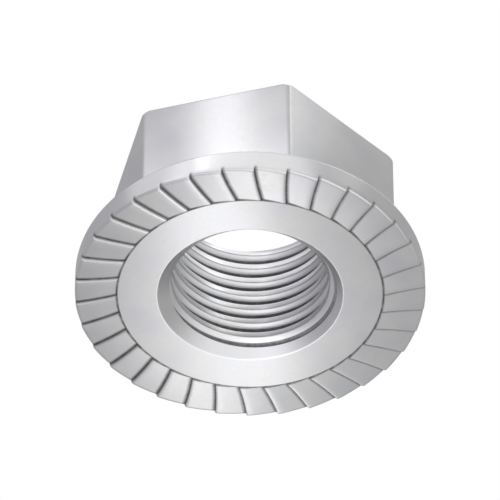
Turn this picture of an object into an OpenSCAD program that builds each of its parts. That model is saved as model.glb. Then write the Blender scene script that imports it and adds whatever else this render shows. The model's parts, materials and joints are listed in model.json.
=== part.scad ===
// Serrated hex flange lock nut, one piece.
// The bearing face looks down and the tips of its serrations lie on z = 0. The bore runs along Z.

/* [Hexagon body] */
// Distance across the flats
across_flats = 14.2; // [12.5:0.05:15.5]
// Overall height, from the tips of the serrations to the top face
nut_h = 8.5; // [6.5:0.1:12]
// Direction of one corner of the hexagon, in degrees from the X axis
hex_turn = -15.3; // [-60:0.1:60]
// Depth of the round that takes the sharp edge off each vertical corner
corner_break = 0.06; // [0.04:0.02:0.4]
// Height of the top chamfer at the corners
chamfer_h = 0.12; // [0.06:0.02:0.6]
// Angle of the top chamfer from the top face
chamfer_angle = 45; // [20:1:50]

/* [Flange] */
// Diameter of the flange
flange_d = 19.05; // [18:0.05:24]
// Height of the straight rim
rim_h = 1.5; // [0.8:0.05:2]
// Slope of the upper side of the flange, in degrees
flange_slope = 20; // [10:1:30]
// Chamfer on the two edges of the rim
rim_chamfer = 0.12; // [0.04:0.02:0.2]

/* [Serrations] */
// Number of teeth around the ring
tooth_count = 34; // [20:1:48]
// Diameter on which the teeth start
tooth_inner_d = 14.5; // [13.5:0.05:16]
// Depth of a tooth at the rim
tooth_depth = 0.18; // [0.1:0.02:0.4]
// Width of the flat crest of a tooth
crest_w = 0.16; // [0.08:0.02:0.3]
// Angle by which the outer end of a tooth lags behind its inner end
tooth_lag = 3.6; // [0:0.1:6]
// Radius of the curve that a tooth follows
tooth_curve_r = 16; // [10:0.5:40]
// Direction of the first tooth, in degrees from the X axis
tooth_turn = 8.2; // [0:0.1:18]
// Depth of the plain ring inside the teeth
ring_relief = 0.06; // [0.02:0.01:0.2]

/* [Bore] */
// Diameter of the bore, over the crests of its thread
bore_d = 8.6; // [7:0.05:9.2]
// Diameter of the countersinks at the mouths
countersink_d = 10.1; // [9.5:0.05:11.5]
// Full angle of the countersinks
countersink_angle = 90; // [60:5:120]

/* [Hidden] */
$fn = 96;

corner_r = across_flats / sqrt(3) - corner_break;
chamfer_r = corner_r - chamfer_h / tan(chamfer_angle);
flange_r = flange_d / 2;
tooth_inner_r = tooth_inner_d / 2;
bore_r = bore_d / 2;
mouth_r = countersink_d / 2;
slope_run = flange_r - rim_chamfer - across_flats / 2;
flange_top = rim_h + slope_run * tan(flange_slope);
countersink_h = (mouth_r - bore_r) / tan(countersink_angle / 2);

pitch_angle = 360 / tooth_count;
tooth_pitch = flange_r * pitch_angle * PI / 180;
ramp_angle = atan(tooth_depth / (tooth_pitch - crest_w));
spill = 1;

// Ends of a tooth's wall, and the centre of the circle that joins them
wall_in = tooth_inner_r * [cos(tooth_lag / 2), sin(tooth_lag / 2)];
wall_out = flange_r * [cos(tooth_lag / 2), -sin(tooth_lag / 2)];
wall_chord = wall_out - wall_in;
wall_mid = (wall_in + wall_out) / 2;
wall_normal = [-wall_chord.y, wall_chord.x] / norm(wall_chord);
wall_centre = wall_mid + wall_normal * sqrt(tooth_curve_r ^ 2 - norm(wall_chord) ^ 2 / 4);
wall_heading = atan2(wall_chord.y, wall_chord.x);

// Hexagon with its corners eased and its top chamfered
module hex_body() {
    intersection() {
        rotate(hex_turn) translate([0, 0, rim_h / 2])
            cylinder(r = across_flats / sqrt(3), h = nut_h - rim_h / 2, $fn = 6);
        rotate_extrude() polygon([
            [0, 0], [corner_r, 0], [corner_r, nut_h - chamfer_h], [chamfer_r, nut_h], [0, nut_h]
        ]);
    }
}

// Flange with its straight rim, chamfered edges and sloped upper side
module flange() {
    rotate_extrude() polygon([
        [0, 0], [flange_r - rim_chamfer, 0], [flange_r, rim_chamfer], [flange_r, rim_h - rim_chamfer],
        [flange_r - rim_chamfer, rim_h], [across_flats / 2, flange_top], [0, flange_top]
    ]);
}

// Plan of the space between one wall and the next crest, open at the rim
module tooth_plan() {
    intersection() {
        difference() {
            translate([tooth_inner_r / 2, -tooth_pitch / 2])
                square([flange_r + spill - tooth_inner_r / 2, 2 * tooth_pitch]);
            circle(r = tooth_inner_r);
        }
        translate(wall_centre) circle(r = tooth_curve_r);
    }
}

// Everything under the ramp that rises from the next crest back to this wall
module ramp_space() {
    rotate(pitch_angle) translate(wall_mid) rotate(wall_heading)
        translate([0, -crest_w, 0]) rotate([-ramp_angle, 0, 0])
            translate([-flange_r, -2 * tooth_pitch, -spill])
                cube([2 * flange_r, 3 * tooth_pitch, spill]);
}

// Ring of ratchet gullets cut into the bearing face
module serrations() {
    for (i = [0:tooth_count - 1])
        rotate(tooth_turn + i * pitch_angle) intersection() {
            translate([0, 0, -spill]) linear_extrude(2 * spill) tooth_plan();
            ramp_space();
        }
}

// Countersink that opens downwards, with its mouth at z = 0
module countersink() {
    translate([0, 0, -spill]) cylinder(
        r1 = mouth_r + spill * tan(countersink_angle / 2), r2 = bore_r, h = spill + countersink_h
    );
}

module flange_nut() {
    color("silver") difference() {
        union() {
            hex_body();
            flange();
        }
        translate([0, 0, -spill]) cylinder(r = tooth_inner_r, h = spill + ring_relief);
        serrations();
        translate([0, 0, -spill]) cylinder(r = bore_r, h = nut_h + 2 * spill);
        translate([0, 0, ring_relief]) countersink();
        translate([0, 0, nut_h]) mirror([0, 0, 1]) countersink();
    }
}

flange_nut();
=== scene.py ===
import json
import math

import bmesh
import bpy
from mathutils import Matrix, Vector


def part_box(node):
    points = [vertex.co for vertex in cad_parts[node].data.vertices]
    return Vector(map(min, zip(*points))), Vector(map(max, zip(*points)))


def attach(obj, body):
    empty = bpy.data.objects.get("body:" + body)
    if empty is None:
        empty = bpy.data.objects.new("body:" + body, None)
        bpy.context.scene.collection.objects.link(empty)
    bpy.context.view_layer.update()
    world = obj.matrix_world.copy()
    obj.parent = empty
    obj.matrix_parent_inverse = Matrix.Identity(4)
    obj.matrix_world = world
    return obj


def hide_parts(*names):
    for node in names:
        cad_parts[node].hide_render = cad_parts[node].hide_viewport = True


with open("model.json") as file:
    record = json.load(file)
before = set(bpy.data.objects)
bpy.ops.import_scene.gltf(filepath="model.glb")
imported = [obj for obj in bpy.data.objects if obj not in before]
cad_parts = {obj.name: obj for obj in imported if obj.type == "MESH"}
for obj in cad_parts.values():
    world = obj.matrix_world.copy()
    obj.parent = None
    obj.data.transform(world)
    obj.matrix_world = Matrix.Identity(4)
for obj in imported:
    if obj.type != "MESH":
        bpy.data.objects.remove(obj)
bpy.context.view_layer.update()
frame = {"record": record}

print("frame loaded")

# Serrated flange lock nut, which stands on its bearing face.
# Sizes are in millimetres until the finished mesh is scaled to metres.
mm = 0.001
micron = 1e-6
lowCorner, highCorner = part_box("flange_nut")
flangeRadius = min(highCorner.x, highCorner.y, -lowCorner.x, -lowCorner.y) / mm
nutHeight = highCorner.z / mm
threadMount = next(m for m in frame["record"]["mounts"] if m["name"] == "thread")
boreRadius = threadMount["dims"]["r_mm"]

hexagon = {
    "acrossFlats": 14.2,
    "turn": -15.3,          # direction of one corner
    "cornerRound": 0.35,    # radius of the upright corners
    "footFillet": 0.35,     # radius where the flats meet the flange
    "topRound": 0.05,
    "chamferHeight": 0.12,  # at the corners
    "chamferAngle": 45,
}
flange = {
    "rimHeight": 1.5,
    "slope": 20,
    "edgeRound": 0.12,
}
teeth = {
    "count": 34,
    "innerRadius": 7.25,
    "depth": 0.18,      # at the rim
    "crest": 0.16,
    "lag": 3.6,         # the outer end trails the inner end by this angle
    "curve": 16,        # radius of the line that a tooth follows
    "turn": 8.2,        # direction of the first tooth
    "rampStart": 0.10,  # distance from the top of a wall at which the ramp starts
    "ringRelief": 0.06,
}
bore = {
    "mouthRadius": 5.05,
    "mouthRound": 0.06,
    "pilotRadius": 3.9,  # the thread cutter opens this up
}
thread = {
    "pitch": 25.4 / 24,
    "majorRadius": 9.525 / 2,
    "flankAngle": 30,
    "rootFlat": 0.13,
    "crestRound": 0.05,
    "rootRound": 0.05,
    "rootShade": (0.20, 0.16),  # how far up from the root the painted dark line of shade starts and is full
    "lowFade": (0.25, 0.75),    # heights between which the line sets in at the lower mouth
    "topFade": (0.45, 1.0),     # the same below the top face
    "phase": 0.30,       # height at which a root crosses the X axis
    "stepsPerTurn": 136,
    "overrun": 0.9,      # how far the cutter stands out at each end
}
rings = {  # rows of the outline between its corners, some with how far their columns gather at the teeth
    "besideRound": (0.04, 0.06),  # a row this near a rounded edge keeps its shading narrow
    "cone": 4.5,
    "plain": ((5.5, 0.1), (6.0, 0.35), (6.5, 0.65), (6.95, 0.9), (7.16, 1), (7.2, 1), (7.222, 1)),
    "teeth": (7.262, 7.29, 7.35, 7.6, 7.9, 8.2, 8.5, 8.8, 9.1),
    "rim": ((0.46, 1), (0.6, 0.9), (0.8, 0.7), (1.0, 0.5), (1.2, 0.3)),
    "lastGather": 0.15,
    "apron": (0.06, 0.35, 0.65, 0.92),        # shares of the way from the rim to the foot
    "flat": (0.02, 0.25, 0.5, 0.75, 0.985),   # shares of a flat's height
    "top": (6.6, 6.0),
}
columns = 408                    # a multiple of the teeth and of the hexagon's sides
perTooth = columns // teeth["count"]
perSide = columns // 6
pitchAngle = 360 / teeth["count"]
hexRadius = hexagon["acrossFlats"] / math.sqrt(3)
cornerRadius = hexRadius - hexagon["cornerRound"] * (1 / math.cos(math.radians(30)) - 1)
chamferRadius = cornerRadius - hexagon["chamferHeight"] / math.tan(math.radians(hexagon["chamferAngle"]))


def polar(radius, degrees):
    angle = math.radians(degrees)
    return Vector((radius * math.cos(angle), radius * math.sin(angle)))


def mix(a, b, share):
    return a + (b - a) * share


# Serrations

wallIn = polar(teeth["innerRadius"], teeth["lag"] / 2)
wallOut = polar(flangeRadius, -teeth["lag"] / 2)
wallChord = wallOut - wallIn
wallSide = Vector((-wallChord.y, wallChord.x)).normalized()
curveRise = math.sqrt(teeth["curve"] ** 2 - wallChord.length_squared / 4)
curveCentre = (wallIn + wallOut) / 2 + wallSide * curveRise
outerPitch = flangeRadius * math.radians(pitchAngle)
rampRise = teeth["depth"] / (outerPitch - teeth["crest"])
rampStart = teeth["rampStart"]


def wallAngle(radius):  # direction of a tooth's wall at this radius, from the tooth's own direction
    reach = curveCentre.length
    cosine = (radius ** 2 + reach ** 2 - teeth["curve"] ** 2) / (2 * radius * reach)
    return math.degrees(math.atan2(curveCentre.y, curveCentre.x) - math.acos(cosine))


# Steps across one tooth: distance from its wall, share of the ramp, height as a share of the full depth
toothSteps = [
    (-teeth["crest"], 0, 0.0), (-teeth["crest"] + 0.04, 0, 0.0), (-0.035, 0, 0.0), (-0.008, 0, 0.06),
    (0.022, 0, 0.5), (0.052, 0, 0.93), (rampStart, 0, None), (0.17, 0, None), (0.26, 0, None),
    (rampStart, 0.35, None), (rampStart, 0.58, None), (rampStart, 0.8, None),
]


def toothPoint(column, radius):  # direction and height of a point on the serrated ring
    tooth, step = divmod(column - toothOffset, perTooth)
    distance, share, height = toothSteps[step]
    ramp = radius * math.radians(pitchAngle) - teeth["crest"]
    distance += share * (ramp - rampStart)
    angle = teeth["turn"] + tooth * pitchAngle + wallAngle(radius) + math.degrees(distance / radius)
    rampHeight = (ramp - distance) * rampRise
    z = rampHeight if height is None else height * ramp * rampRise
    return angle, z


def evenAngle(column):
    return hexagon["turn"] + column * 360 / columns


toothOffset = round((teeth["turn"] - hexagon["turn"]) * columns / 360)


# Hexagon

def hexPoint(column, offset=0.0):  # plan position on the hexagon's outline, moved outwards by offset
    side, step = divmod(column, perSide)
    corner = hexagon["turn"] + side * 60
    inset = hexRadius - hexagon["cornerRound"] / math.cos(math.radians(30))
    rounded = 5  # columns in half a corner
    reach = hexagon["cornerRound"] + offset
    if step <= rounded:
        return polar(inset, corner) + polar(reach, corner + 30 * step / rounded)
    if step >= perSide - rounded:
        return polar(inset, corner + 60) + polar(reach, corner + 60 - 30 * (perSide - step) / rounded)
    start = polar(inset, corner) + polar(reach, corner + 30)
    end = polar(inset, corner + 60) + polar(reach, corner + 30)
    return start.lerp(end, (step - rounded) / (perSide - 2 * rounded))


def apronHeight(radius):  # sloped upper side of the flange
    inwards = flangeRadius - flange["edgeRound"] - radius
    return flange["rimHeight"] + inwards * math.tan(math.radians(flange["slope"]))


def crownHeight(radius):  # top face and its chamfer
    drop = max(0.0, radius - chamferRadius) * math.tan(math.radians(hexagon["chamferAngle"]))
    return nutHeight - drop


# The nut's outline as rows: each has the shape it follows, two sizes, how far its columns gather
# at the teeth, and its finish
def quarter(steps):
    return [math.radians(90 * i / steps) for i in range(steps + 1)]


def bodyRows():
    rows = []
    mouth, roundness, relief = bore["mouthRadius"], bore["mouthRound"], teeth["ringRelief"]
    near, further = rings["besideRound"]
    tangent = roundness * math.tan(math.radians(22.5))
    diagonal = tangent * math.sqrt(0.5)
    cone = (bore["pilotRadius"], rings["cone"], mouth - further)
    mouthArc = ((mouth - diagonal, diagonal), (mouth + tangent * 0.1, tangent * 0.25))
    for radius in cone:
        rows.append(("round", radius, relief + mouth - radius, 0, "turned"))
    for radius, rise in (*mouthArc, (mouth + tangent, 0), (mouth + tangent + near, 0)):
        rows.append(("round", radius, relief + rise, 0, "turned"))
    for radius, gather in rings["plain"]:
        rows.append(("round", radius, relief, gather, "turned"))
    edge = flange["edgeRound"]
    for radius in (*rings["teeth"], flangeRadius - edge - further):
        rows.append(("tooth", radius, 0.0, 1, "serrated"))
    for t in quarter(4):
        radius = flangeRadius - edge * (1 - math.sin(t))
        rows.append(("tooth", radius, edge * (1 - math.cos(t)), 1, "forged"))
    top = flange["rimHeight"]
    for z, gather in (*rings["rim"], (top - edge - near, rings["lastGather"])):
        rows.append(("round", flangeRadius, z, gather, "forged"))
    for t in quarter(4):
        radius = flangeRadius - edge * (1 - math.cos(t))
        rows.append(("round", radius, top - edge * (1 - math.sin(t)), 0, "forged"))
    for share in rings["apron"]:
        rows.append(("apron", share, 0, 0, "forged"))
    foot = hexagon["footFillet"]
    for t in quarter(5):
        rows.append(("foot", foot * (1 - math.sin(t)), foot * (1 - math.cos(t)), 0, "forged"))
    for share in rings["flat"]:
        rows.append(("flat", share, 0, 0, "forged"))
    lip = hexagon["topRound"]
    for t in quarter(3):
        rows.append(("lip", -lip * (1 - math.cos(t)), lip * (1 - math.sin(t)), 0, "forged"))
    for step in (0.0, near):
        rows.append(("crown", step, 0, 0, "faced"))
    for radius in (*rings["top"], mouth + tangent + near, mouth + tangent):
        rows.append(("round", radius, nutHeight, 0, "faced"))
    for radius, fall in mouthArc[::-1]:
        rows.append(("round", radius, nutHeight - fall, 0, "faced"))
    for radius in cone[::-1]:
        rows.append(("round", radius, nutHeight - mouth + radius, 0, "faced"))
    return rows


def rowPoint(row, column):
    shape, a, b, gather, _ = row
    if shape == "tooth":
        angle, z = toothPoint(column, a)
        return (*polar(a, angle), z + b)
    if shape == "round":
        angle = evenAngle(column)
        if gather:
            angle = mix(angle, toothPoint(column, max(a, teeth["innerRadius"]))[0], gather)
        return (*polar(a, angle), b)
    foot, lip = hexagon["footFillet"], hexagon["topRound"]
    if shape == "apron":
        rim = polar(flangeRadius - flange["edgeRound"], evenAngle(column))
        plan = rim.lerp(hexPoint(column, foot), a)
        return (*plan, apronHeight(plan.length))
    if shape == "foot":
        plan = hexPoint(column, a)
        return (*plan, apronHeight(plan.length) + b)
    if shape == "flat":
        plan = hexPoint(column)
        return (*plan, mix(apronHeight(plan.length) + foot, crownHeight(plan.length) - lip, a))
    if shape == "lip":
        plan = hexPoint(column, a)
        return (*plan, crownHeight(plan.length) - b)
    plan = hexPoint(column, -lip)
    radius = min(chamferRadius, plan.length - rings["besideRound"][1]) - a
    return (*(plan.normalized() * radius), crownHeight(radius))


slots = ["turned", "serrated", "forged", "faced", "tapped"]  # finishes, in the order of their materials
tappedSlot = slots.index("tapped")


def buildBody():
    rows = bodyRows()
    bm = bmesh.new()
    rowLayer = bm.verts.layers.int.new("row")
    outline = [bm.verts.new(rowPoint(row, 0)) for row in rows]
    for i, v in enumerate(outline):
        v[rowLayer] = i
    edges = [bm.edges.new((outline[i - 1], outline[i])) for i in range(len(outline))]
    bmesh.ops.spin(bm, geom=outline + edges, cent=(0, 0, 0), axis=(0, 0, 1), angle=math.tau,
                   steps=columns, use_merge=True, use_duplicate=False)
    places = {}
    for v in bm.verts:  # the spun rings take the form of their rows, column by column
        row = rows[v[rowLayer]]
        start = rowPoint(row, 0)
        turn = math.atan2(v.co.y, v.co.x) - math.atan2(start[1], start[0])
        places[v] = rowPoint(row, round(turn / math.tau * columns) % columns)
    for v, place in places.items():
        v.co = place
    for face in bm.faces:
        face.material_index = slots.index(rows[max(v[rowLayer] for v in face.verts)][4])
    bm.verts.layers.int.remove(rowLayer)
    bmesh.ops.recalc_face_normals(bm, faces=bm.faces)
    return bm


def buildThreadCutter():
    bm = bmesh.new()
    pitch, depth = thread["pitch"], thread["majorRadius"] - boreRadius
    flank = depth * math.tan(math.radians(thread["flankAngle"]))
    half = thread["rootFlat"] / 2
    ups = (depth, *thread["rootShade"], 0)  # distances from the root at which the flank has a point
    rising = [(thread["majorRadius"] - up, half + flank * up / depth) for up in ups]
    falling = [(r, -z) for r, z in rising]
    outline = [(boreRadius, -pitch / 2), *falling, *rising[::-1], (boreRadius, pitch / 2)]
    low = -thread["overrun"] - pitch
    first = [bm.verts.new((r, 0, low + z + thread["phase"])) for r, z in outline]
    edges = [bm.edges.new((a, b)) for a, b in zip(first, first[1:])]
    turns = math.ceil((nutHeight + 2 * thread["overrun"]) / pitch) + 2
    crests, roots = [first[1], first[8]], [first[4], first[5]]
    for corners, size in ((crests, thread["crestRound"]), (roots, thread["rootRound"])):
        bmesh.ops.bevel(bm, geom=corners, offset=size, offset_type="OFFSET", segments=3, profile=0.5,
                        affect="VERTICES", material=-1)
    steps = thread["stepsPerTurn"]
    bmesh.ops.spin(bm, geom=bm.verts[:] + bm.edges[:], cent=(0, 0, 0), axis=(0, 0, 1),
                   dvec=(0, 0, pitch / steps), angle=math.tau * turns, steps=steps * turns,
                   use_merge=False, use_duplicate=False)
    bmesh.ops.remove_doubles(bm, verts=bm.verts, dist=1e-4)
    for height, down in ((-thread["overrun"], True), (nutHeight + thread["overrun"], False)):
        cut = bmesh.ops.bisect_plane(bm, geom=bm.verts[:] + bm.edges[:] + bm.faces[:], dist=1e-6,
                                     plane_co=(0, 0, height), plane_no=(0, 0, 1),
                                     clear_inner=down, clear_outer=not down)
        rim = [e for e in cut["geom_cut"] if isinstance(e, bmesh.types.BMEdge)]
        bmesh.ops.contextual_create(bm, geom=rim)
    bmesh.ops.recalc_face_normals(bm, faces=bm.faces)
    return bm


def meshObject(name, bm, scale=1.0):
    bmesh.ops.scale(bm, vec=(scale,) * 3, verts=bm.verts)
    mesh = bpy.data.meshes.new(name)
    bm.to_mesh(mesh)
    bm.free()
    made = bpy.data.objects.new(name, mesh)
    bpy.context.scene.collection.objects.link(made)
    return made


nut = meshObject("flange_nut_finish", buildBody())
cutter = meshObject("thread_cutter", buildThreadCutter())
print("outline and thread cutter made", len(nut.data.polygons), len(cutter.data.polygons))


# Shader node groups

plating = {
    "coolColor": (0.72, 0.725, 0.75, 1),
    "warmColor": (0.765, 0.76, 0.755, 1),
    "dullColor": (0.66, 0.66, 0.68, 1),
    "dullShare": 0.25,
    "mottleSize": 2.2,
    # painted shade: hollow corners and creases are darkened towards this colour
    "creaseShadeColor": (0.20, 0.195, 0.19, 1),
    "cornerRoughness": 0.2,  # added where painted shade darkens a corner
    # painted shade: dark lines at the foot of the teeth's walls, at the ring's step and in the thread's
    # roots
    "rootShadeColor": (0.05, 0.048, 0.046, 1),
    "edgeColor": (0.80, 0.80, 0.81, 1),
    "edgeWear": 0.5,
    "edgePolish": 0.06,
    "breakup": 0.25,         # how ragged the worn edges and the painted corner shade are
}


def newGroup(name, inputs, outputs):
    group = bpy.data.node_groups.new(name, "ShaderNodeTree")
    for label, kind, value in inputs:
        socket = group.interface.new_socket(name=label, in_out="INPUT", socket_type=kind)
        socket.default_value = value
    for label, kind in outputs:
        group.interface.new_socket(name=label, in_out="OUTPUT", socket_type=kind)
    return group, group.nodes.new("NodeGroupInput"), group.nodes.new("NodeGroupOutput")


def plug(tree, socket, value):  # a link or a plain value
    if isinstance(value, bpy.types.NodeSocket):
        tree.links.new(value, socket)
    else:
        socket.default_value = value


def maths(tree, operation, a, b=0.0, clamp=False):
    node = tree.nodes.new("ShaderNodeMath")
    node.operation, node.use_clamp = operation, clamp
    plug(tree, node.inputs[0], a)
    plug(tree, node.inputs[1], b)
    return node.outputs[0]


def remap(tree, value, low, high, to=(0.0, 1.0), smooth=False):
    node = tree.nodes.new("ShaderNodeMapRange")
    node.interpolation_type = "SMOOTHSTEP" if smooth else "LINEAR"
    for socket, number in zip(node.inputs[:5], (value, low, high, *to)):
        plug(tree, socket, number)
    return node.outputs[0]


def blend(tree, share, a, b):  # colour mix
    node = tree.nodes.new("ShaderNodeMix")
    node.data_type = "RGBA"
    plug(tree, node.inputs[0], share)
    plug(tree, node.inputs[6], a)
    plug(tree, node.inputs[7], b)
    return node.outputs[2]


def noise(tree, vector, scale, detail=3.0, roughness=0.5, dimensions="3D"):
    node = tree.nodes.new("ShaderNodeTexNoise")
    node.noise_dimensions = dimensions
    plug(tree, node.inputs["W" if dimensions == "1D" else "Vector"], vector)
    plug(tree, node.inputs["Scale"], scale)
    node.inputs["Detail"].default_value = detail
    node.inputs["Roughness"].default_value = roughness
    return node.outputs[0]


def millimetres(tree):  # object coordinates, in millimetres
    place = tree.nodes.new("ShaderNodeTexCoord")
    scale = tree.nodes.new("ShaderNodeVectorMath")
    scale.operation = "SCALE"
    tree.links.new(place.outputs["Object"], scale.inputs[0])
    scale.inputs["Scale"].default_value = 1 / mm
    return scale.outputs[0]


def makeMottleGroup():  # cloudy zinc: a tint between cool and warm, and a mask of duller patches
    group, given, out = newGroup("zinc mottle", [("Size", "NodeSocketFloat", 2.0)],
                                 [("Color", "NodeSocketColor"), ("Dull", "NodeSocketFloat")])
    place = millimetres(group)
    scale = maths(group, "DIVIDE", 1.0, given.outputs["Size"])
    drift = remap(group, noise(group, place, scale, 2.0), 0.35, 0.65)
    fine = noise(group, place, maths(group, "MULTIPLY", scale, 9.0), 4.0, 0.6)
    tint = blend(group, drift, plating["coolColor"], plating["warmColor"])
    shade = remap(group, fine, 0.3, 0.7, (0.0, 1.0))
    patches = maths(group, "MULTIPLY", shade, plating["dullShare"])
    group.links.new(blend(group, patches, tint, plating["dullColor"]), out.inputs["Color"])
    group.links.new(maths(group, "MULTIPLY", drift, shade), out.inputs["Dull"])
    return group


def makeLatheGroup():  # fine rings left by a turning tool, at an uneven pitch
    group, given, out = newGroup("lathe rings", [("Spacing", "NodeSocketFloat", 0.08)],
                                 [("Height", "NodeSocketFloat")])
    place = group.nodes.new("ShaderNodeSeparateXYZ")
    group.links.new(millimetres(group), place.inputs[0])
    across = maths(group, "SQRT", maths(group, "ADD", maths(group, "POWER", place.outputs[0], 2.0),
                                        maths(group, "POWER", place.outputs[1], 2.0)))
    wander = maths(group, "ADD", across, maths(group, "MULTIPLY", place.outputs[2], 0.7))
    often = maths(group, "DIVIDE", 1.0, given.outputs["Spacing"])
    group.links.new(noise(group, wander, often, 2.0, 0.7, "1D"), out.inputs["Height"])
    return group


def makeDrawnGroup():  # fine upright lines left by the forming dies
    group, given, out = newGroup("die lines", [("Spacing", "NodeSocketFloat", 0.1)],
                                 [("Height", "NodeSocketFloat")])
    stretch = group.nodes.new("ShaderNodeMapping")
    group.links.new(millimetres(group), stretch.inputs["Vector"])
    stretch.inputs["Scale"].default_value = (1, 1, 0.04)
    often = maths(group, "DIVIDE", 1.0, given.outputs["Spacing"])
    group.links.new(noise(group, stretch.outputs[0], often, 3.0, 0.6), out.inputs["Height"])
    return group


def makeMaskGroup():  # worn edges and painted shade in hollow corners, from the curvature kept on the mesh, and the painted root shade
    group, given, out = newGroup("edges and corners", [("Breakup", "NodeSocketFloat", 0.5)],
                                 [("Edge", "NodeSocketFloat"), ("Corner", "NodeSocketFloat"),
                                  ("Root", "NodeSocketFloat")])
    ragged = remap(group, noise(group, millimetres(group), 2.5, 4.0, 0.65), 0.3, 0.7)
    keep = maths(group, "SUBTRACT", 1.0, maths(group, "MULTIPLY", ragged, given.outputs["Breakup"]))
    for name, label in (("edge", "Edge"), ("corner", "Corner"), ("root", "Root")):
        read = group.nodes.new("ShaderNodeAttribute")
        read.attribute_name = name
        group.links.new(maths(group, "MULTIPLY", read.outputs["Fac"], keep, clamp=True), out.inputs[label])
    return group


groups = {"mottle": makeMottleGroup(), "lathe": makeLatheGroup(), "drawn": makeDrawnGroup(),
          "mask": makeMaskGroup()}


def use(tree, name, **values):
    node = tree.nodes.new("ShaderNodeGroup")
    node.node_tree = groups[name]
    for key, value in values.items():
        node.inputs[key].default_value = value
    return node


# Finishes: the lay is the direction in which the marks spread the highlight
# corner and root are how strongly painted shade darkens hollow corners and roots
finishes = {
    "turned": {"roughness": 0.29, "dulling": 0.08, "anisotropy": 0.65, "marks": "lathe", "spacing": 0.07,
               "relief": 1.5, "lay": "outwards", "corner": 0.5, "root": 0.85},
    "serrated": {"roughness": 0.29, "dulling": 0.08, "anisotropy": 0.2, "marks": "lathe", "spacing": 0.12,
                 "relief": 1.0, "lay": "outwards", "corner": 0.5, "root": 0.85},
    "forged": {"roughness": 0.28, "dulling": 0.08, "anisotropy": 0.3, "marks": "drawn", "spacing": 0.12,
               "relief": 0.8, "lay": "upright", "corner": 0.5, "root": 0.8},
    "faced": {"roughness": 0.28, "dulling": 0.08, "anisotropy": 0.6, "marks": "lathe", "spacing": 0.09,
              "relief": 1.5, "lay": "outwards", "corner": 0.5, "root": 0.6},
    "tapped": {"roughness": 0.30, "dulling": 0.08, "anisotropy": 0.4, "marks": "lathe", "spacing": 0.05,
               "relief": 0.3, "lay": "upright", "corner": 0.3, "root": 0.86},
}


def makeFinish(name, kind):
    material = bpy.data.materials.new(name)
    material.use_nodes = True
    tree = material.node_tree
    shader = tree.nodes["Principled BSDF"]
    shader.inputs["Metallic"].default_value = 1.0
    shader.inputs["Anisotropic"].default_value = kind["anisotropy"]
    mottle = use(tree, "mottle", Size=plating["mottleSize"])
    mask = use(tree, "mask", Breakup=plating["breakup"])
    marks = use(tree, kind["marks"], Spacing=kind["spacing"])
    # painted shade: the corner and root masks darken the colour in hollow corners and at the roots
    corner = maths(tree, "MULTIPLY", mask.outputs["Corner"], kind["corner"])
    edge = maths(tree, "MULTIPLY", mask.outputs["Edge"], plating["edgeWear"])
    root = maths(tree, "MULTIPLY", mask.outputs["Root"], kind["root"])
    color = blend(tree, edge, mottle.outputs["Color"], plating["edgeColor"])
    color = blend(tree, corner, color, plating["creaseShadeColor"])
    color = blend(tree, root, color, plating["rootShadeColor"])
    tree.links.new(color, shader.inputs["Base Color"])
    dullest = kind["roughness"] + kind["dulling"]
    dull = remap(tree, mottle.outputs["Dull"], 0, 1, (kind["roughness"], dullest))
    rough = maths(tree, "SUBTRACT", dull, maths(tree, "MULTIPLY", edge, plating["edgePolish"]))
    creaseRoughening = maths(tree, "MULTIPLY", corner, plating["cornerRoughness"])
    tree.links.new(maths(tree, "ADD", rough, creaseRoughening, clamp=True), shader.inputs["Roughness"])
    bump = tree.nodes.new("ShaderNodeBump")
    bump.inputs["Distance"].default_value = kind["relief"] * micron
    tree.links.new(marks.outputs["Height"], bump.inputs["Height"])
    tree.links.new(bump.outputs[0], shader.inputs["Normal"])
    place = tree.nodes.new("ShaderNodeTexCoord")
    lay = tree.nodes.new("ShaderNodeVectorMath")
    if kind["lay"] == "outwards":
        lay.operation = "MULTIPLY"
        lay.inputs[1].default_value = (1, 1, 0)
        tree.links.new(place.outputs["Object"], lay.inputs[0])
    else:
        lay.inputs[1].default_value = (0, 0, 1)
    unit = tree.nodes.new("ShaderNodeVectorMath")
    unit.operation = "NORMALIZE"
    tree.links.new(lay.outputs[0], unit.inputs[0])
    tree.links.new(unit.outputs[0], shader.inputs["Tangent"])
    return material


# The nut

def evaluated(piece):  # modifiers become the mesh
    graph = bpy.context.evaluated_depsgraph_get()
    mesh = bpy.data.meshes.new_from_object(piece.evaluated_get(graph), preserve_all_data_layers=True,
                                           depsgraph=graph)
    piece.modifiers.clear()
    piece.data = mesh


paintedRootShade = {  # pairs of distances at which the painted shade in the bearing face's roots sets in and is full
    "step": (0.09, 0.03),        # from the step between the plain ring and the teeth
    "wallNear": (0.0, 0.045),    # across a tooth's wall, from its crest
    "wallFar": (0.26, 0.10),
    "height": (0.34, 0.26),      # over this the rim gets no painted shade
    "ringWidth": 0.2,            # of the plain ring's edge that can get painted shade
}
wearAndCreaseShade = {
    "bendStart": 1.0,  # curvature, per millimetre, at which edge wear and painted corner shade set in
    "bendRange": 5.0,
    "spread": 0.4,     # share that comes from the vertices beside
}
hardAngle = 40         # edges sharper than this are shaded sharp


def share(value, low, high):
    return min(max((value - low) / (high - low), 0.0), 1.0)


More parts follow.
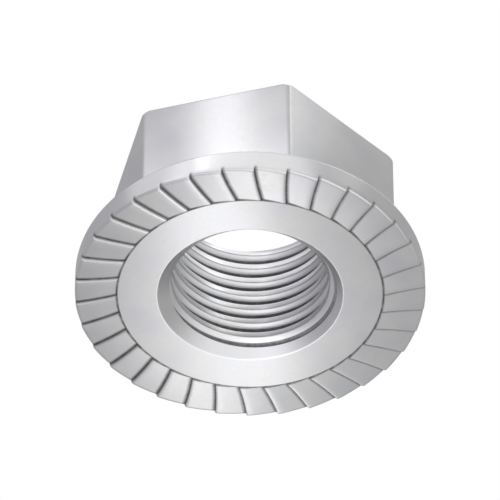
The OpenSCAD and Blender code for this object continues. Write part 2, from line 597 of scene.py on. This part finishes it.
def rootShade(place, tapped):  # 1 where shade is painted dark: a tooth's wall, the ring's step, the thread's root
    radius = place.xy.length
    if tapped:
        starts, full = thread["rootShade"]
        line = share(radius, thread["majorRadius"] - starts, thread["majorRadius"] - full)
        return line * share(place.z, *thread["lowFade"]) * share(nutHeight - place.z, *thread["topFade"])
    if place.z > paintedRootShade["height"][0] or radius < teeth["innerRadius"] - paintedRootShade["ringWidth"]:
        return 0.0
    step = share(abs(radius - teeth["innerRadius"]), *paintedRootShade["step"])
    if radius < teeth["innerRadius"]:
        return step
    turn = math.degrees(math.atan2(place.y, place.x)) - teeth["turn"] - wallAngle(min(radius, flangeRadius))
    beyond = radius * math.radians((turn + pitchAngle / 2) % pitchAngle - pitchAngle / 2)
    wall = min(share(beyond, *paintedRootShade["wallNear"]), share(beyond, *paintedRootShade["wallFar"]))
    return max(step, wall * share(place.z, *paintedRootShade["height"]))


def keepCurvature(bm):  # how convex or hollow each vertex is, and how much painted root shade it gets, as attributes from 0 to 1
    root = bm.verts.layers.float.new("root")
    layers = [(bm.verts.layers.float.new("edge"), 1), (bm.verts.layers.float.new("corner"), -1)]
    bm.verts.index_update()
    curvature = []
    for v in bm.verts:
        folds = [e for e in v.link_edges if len(e.link_faces) == 2]
        bend = sum(e.calc_face_angle_signed(0) * e.calc_length() for e in folds)
        area = sum(f.calc_area() / len(f.verts) for f in v.link_faces)
        curvature.append(bend / max(4 * area, 1e-9))
    for v in bm.verts:
        v[root] = rootShade(v.co, all(f.material_index == tappedSlot for f in v.link_faces))
    for layer, sign in layers:
        full = wearAndCreaseShade["bendStart"] + wearAndCreaseShade["bendRange"]
        raw = [share(sign * value, wearAndCreaseShade["bendStart"], full) for value in curvature]
        for v in bm.verts:
            near = [raw[e.other_vert(v).index] for e in v.link_edges]
            v[layer] = mix(raw[v.index], sum(near) / len(near), wearAndCreaseShade["spread"])


def finishNut(piece):
    bm = bmesh.new()
    bm.from_mesh(piece.data)
    bmesh.ops.remove_doubles(bm, verts=bm.verts, dist=1e-5)
    bmesh.ops.dissolve_degenerate(bm, edges=bm.edges, dist=1e-5)
    bmesh.ops.triangulate(bm, faces=[f for f in bm.faces if len(f.verts) > 4])
    keepCurvature(bm)
    for face in bm.faces:
        face.smooth = True
    for edge in bm.edges:
        kinds = {f.material_index for f in edge.link_faces}
        border = tappedSlot in kinds and len(kinds) > 1
        edge.smooth = not (edge.calc_face_angle(0) > math.radians(hardAngle) or border)
    bmesh.ops.scale(bm, vec=(mm,) * 3, verts=bm.verts)
    bm.to_mesh(piece.data)
    bm.free()


for slot in slots[:tappedSlot]:
    nut.data.materials.append(makeFinish(slot + "Zinc", finishes[slot]))
cutter.data.materials.append(makeFinish("tappedZinc", finishes["tapped"]))
cut = nut.modifiers.new("Thread", "BOOLEAN")
cut.operation, cut.solver, cut.object, cut.material_mode = "DIFFERENCE", "EXACT", cutter, "TRANSFER"
evaluated(nut)
bpy.data.objects.remove(cutter)
finishNut(nut)
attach(nut, "root")
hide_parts("flange_nut")
print("nut finished", len(nut.data.polygons), "faces", [m.name for m in nut.data.materials])


# Studio: the nut stands on a pale floor that is open when seen from below
studio = {
    "floorColor": (0.85, 0.85, 0.85, 1),
    "floorLight": 0.95,       # strength of the world's light on the floor
    "floorFade": (0.03, 0.45),  # metres from the nut over which the floor melts into the white
    "floorSize": 1.5,
    "backdrop": 0.44,         # plain brightness of what the metal mirrors
    "glows": [                # direction, brightness added there, cosine at which the glow ends
        ((-0.2, -0.68, 0.70), 0.18, 0.2),
        ((0.15, -0.69, -0.71), 0.63, 0.2),
    ],
    "leftTint": (0.965, 0.955, 1.0, 1),
    "rightTint": (1.0, 1.0, 1.0, 1),
}
# Strip lights: place, the direction they face and the direction of their long side, size across and along,
# spread, watts
strips = {
    "lowStrip": ((-1.2, 12.2, -12), (0, 0, 1), (0.12, 1, 0), (7, 32), 180, 0.0004),
    "lowWide": ((-1.2, 12.2, -12.5), (0, 0, 1), (0.12, 1, 0), (16, 36), 180, 0.0003),
    "frontStrip": ((-6.7, -15.8, 16.2), (0.264, 0.965, 0), (0, 0, 1), (3, 18), 180, 0.00012),
    "frontWide": ((-3.9, -17.1, 16.2), (0.264, 0.965, 0), (0, 0, 1), (10, 18), 180, 0.00006),
    "rightStrip": ((16.4, -10.8, 22.6), (-0.703, 0.711, 0), (0, 0, 1), (10, 16), 180, 0.0003),
    "rimStrip": ((-2.5, -16.6, 8), (0.03, 0.713, -0.701), (0, 0.701, 0.713), (26, 8), 180, 0.00023),
    "rimLeft": ((-11.3, -11.4, 8.2), (0.6, 0.35, -0.7), (0, 0, 1), (10, 8), 180, 0.00005),
    "mouthStrip": ((1.3, 0.2, 8.7), (0, 0, -1), (0.535, -0.845, 0), (2.6, 8.4), 180, 0.000034),
}
softbox = ((60, 50, 240), (-0.24, -0.2, -0.95), (0, 1, 0), (200, 200), 180, 0.045)


def makeFloor():
    bm = bmesh.new()
    bmesh.ops.create_grid(bm, x_segments=1, y_segments=1, size=studio["floorSize"])
    floor = meshObject("floor", bm)
    material = bpy.data.materials.new("paleFloor")
    material.use_nodes = True
    tree = material.node_tree
    surface = tree.nodes["Principled BSDF"]
    surface.inputs["Base Color"].default_value = studio["floorColor"]
    surface.inputs["Roughness"].default_value = 0.9
    clear = tree.nodes.new("ShaderNodeBsdfTransparent")
    side = tree.nodes.new("ShaderNodeNewGeometry")
    choose = tree.nodes.new("ShaderNodeMixShader")
    place = tree.nodes.new("ShaderNodeTexCoord")
    reach = tree.nodes.new("ShaderNodeVectorMath")
    reach.operation = "LENGTH"
    tree.links.new(place.outputs["Object"], reach.inputs[0])
    fade = remap(tree, reach.outputs["Value"], *studio["floorFade"], smooth=True)
    tree.links.new(maths(tree, "MAXIMUM", side.outputs["Backfacing"], fade), choose.inputs[0])
    tree.links.new(surface.outputs[0], choose.inputs[1])
    tree.links.new(clear.outputs[0], choose.inputs[2])
    tree.links.new(choose.outputs[0], tree.nodes["Material Output"].inputs["Surface"])
    floor.data.materials.append(material)
    for ray in ("visible_diffuse", "visible_glossy", "visible_transmission", "visible_shadow"):
        setattr(floor, ray, False)


def glow(tree, way, towards, end):  # 1 in one direction, fading to 0 where the cosine falls to end
    dot = tree.nodes.new("ShaderNodeVectorMath")
    dot.operation = "DOT_PRODUCT"
    tree.links.new(way, dot.inputs[0])
    dot.inputs[1].default_value = Vector(towards).normalized()
    return remap(tree, dot.outputs["Value"], end, 1.0, smooth=True)


def makeWorld():  # white to the camera; metal mirrors a grey backdrop with soft glows in front
    world = bpy.data.worlds.new("studio")
    bpy.context.scene.world = world
    world.use_nodes = True
    tree = world.node_tree
    background = tree.nodes["Background"]
    place = tree.nodes.new("ShaderNodeTexCoord")
    way = place.outputs["Generated"]
    split = tree.nodes.new("ShaderNodeSeparateXYZ")
    tree.links.new(way, split.inputs[0])
    level = studio["backdrop"]
    for towards, strength, end in studio["glows"]:
        level = maths(tree, "ADD", level, maths(tree, "MULTIPLY", glow(tree, way, towards, end), strength))
    tint = blend(tree, remap(tree, split.outputs["X"], -0.4, 0.2, smooth=True), studio["leftTint"],
                 studio["rightTint"])
    backdrop = tree.nodes.new("ShaderNodeVectorMath")
    backdrop.operation = "SCALE"
    tree.links.new(tint, backdrop.inputs[0])
    plug(tree, backdrop.inputs["Scale"], level)
    path = tree.nodes.new("ShaderNodeLightPath")
    mirrored = maths(tree, "ADD", path.outputs["Is Glossy Ray"], path.outputs["Is Transmission Ray"],
                     clamp=True)
    tree.links.new(blend(tree, mirrored, (1, 1, 1, 1), backdrop.outputs[0]), background.inputs["Color"])
    seen = maths(tree, "ADD", path.outputs["Is Camera Ray"], mirrored, clamp=True)
    tree.links.new(remap(tree, seen, 0, 1, (studio["floorLight"], 1.0)), background.inputs["Strength"])


def makeLamp(name, place, facing, along, size, spread, watts, onFloor=False):
    light = bpy.data.lights.new(name, "AREA")
    light.shape, light.energy, light.spread = "ELLIPSE", watts, math.radians(spread)
    light.size, light.size_y = size[0] * mm, size[1] * mm
    lamp = bpy.data.objects.new(name, light)
    bpy.context.scene.collection.objects.link(lamp)
    back = -Vector(facing).normalized()
    side = Vector(along).cross(back).normalized()
    turn = Matrix((side, back.cross(side), back)).transposed()
    lamp.matrix_world = Matrix.Translation(Vector(place) * mm) @ turn.to_4x4()
    lamp.visible_camera, lamp.visible_diffuse = False, onFloor


makeFloor()
makeWorld()
for name, values in strips.items():
    makeLamp(name, *values)
makeLamp("softbox", *softbox, onFloor=True)
print("studio made")


# Camera: the photograph looks up at the bearing face from far away
view = {
    "elevation": -44.52,
    "distance": 286.26,
    "frameWidth": 27.149,   # what the frame spans at that distance
    "faceAcross": 0.007,    # where the bearing face's centre lies from the middle of the frame
    "faceDown": 2.512,
    "clip": (0.01, 5),      # metres
}
scene = bpy.context.scene
tilt = math.radians(view["elevation"])
away = Vector((0, -math.cos(tilt), math.sin(tilt)))
upwards = Vector((0, math.sin(tilt), math.cos(tilt)))
target = upwards * view["faceDown"] - Vector((view["faceAcross"], 0, 0))
lens = bpy.data.cameras.new("camera")
lens.lens = lens.sensor_width * view["distance"] / view["frameWidth"]
lens.clip_start, lens.clip_end = view["clip"]
camera = bpy.data.objects.new("camera", lens)
scene.collection.objects.link(camera)
camera.location = away * view["distance"] * mm
camera.rotation_euler = (target * mm - camera.location).to_track_quat("-Z", "Y").to_euler()
scene.camera = camera
scene.view_settings.view_transform = "Standard"
print("camera placed")
